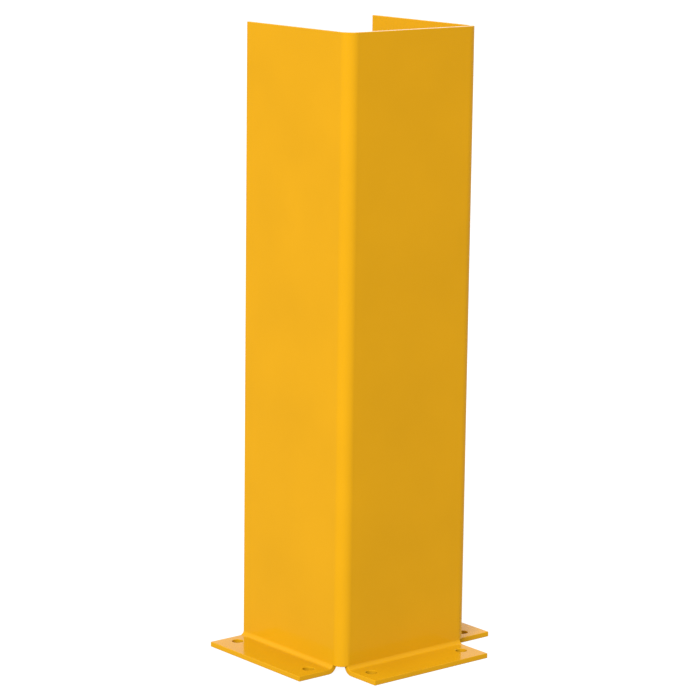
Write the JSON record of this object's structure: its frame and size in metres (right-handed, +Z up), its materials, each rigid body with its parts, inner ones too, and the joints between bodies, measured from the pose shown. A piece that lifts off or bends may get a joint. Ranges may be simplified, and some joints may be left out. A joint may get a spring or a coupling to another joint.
{
  "type": "bolt-down rack post guard",
  "caption": "Yellow steel guard plate folded into a U that stands around the foot of a rack upright or column and bolts to the floor by outward feet.",
  "frame": {"origin": "on the floor at the centre of the footprint, which is the outline of the feet and the wings", "axes": "+Z up along the guard, the web faces -Y and takes the blow, the open side of the U faces +Y, and +X is to the right seen from the front"},
  "size_m": [0.241, 0.1924, 0.6096],
  "materials": {
    "yellow_powder_coat": "smooth glossy traffic-yellow powder coat over steel plate, soft on its cut edges"
  },
  "bodies": {
    "root": {"web_panel": "yellow_powder_coat", "left_wing": "yellow_powder_coat", "right_wing": "yellow_powder_coat", "left_corner_bend": "yellow_powder_coat", "right_corner_bend": "yellow_powder_coat", "front_foot": "yellow_powder_coat", "front_foot_bend": "yellow_powder_coat", "left_foot": "yellow_powder_coat", "left_foot_bend": "yellow_powder_coat", "right_foot": "yellow_powder_coat", "right_foot_bend": "yellow_powder_coat"}
  },
  "joints": []
}
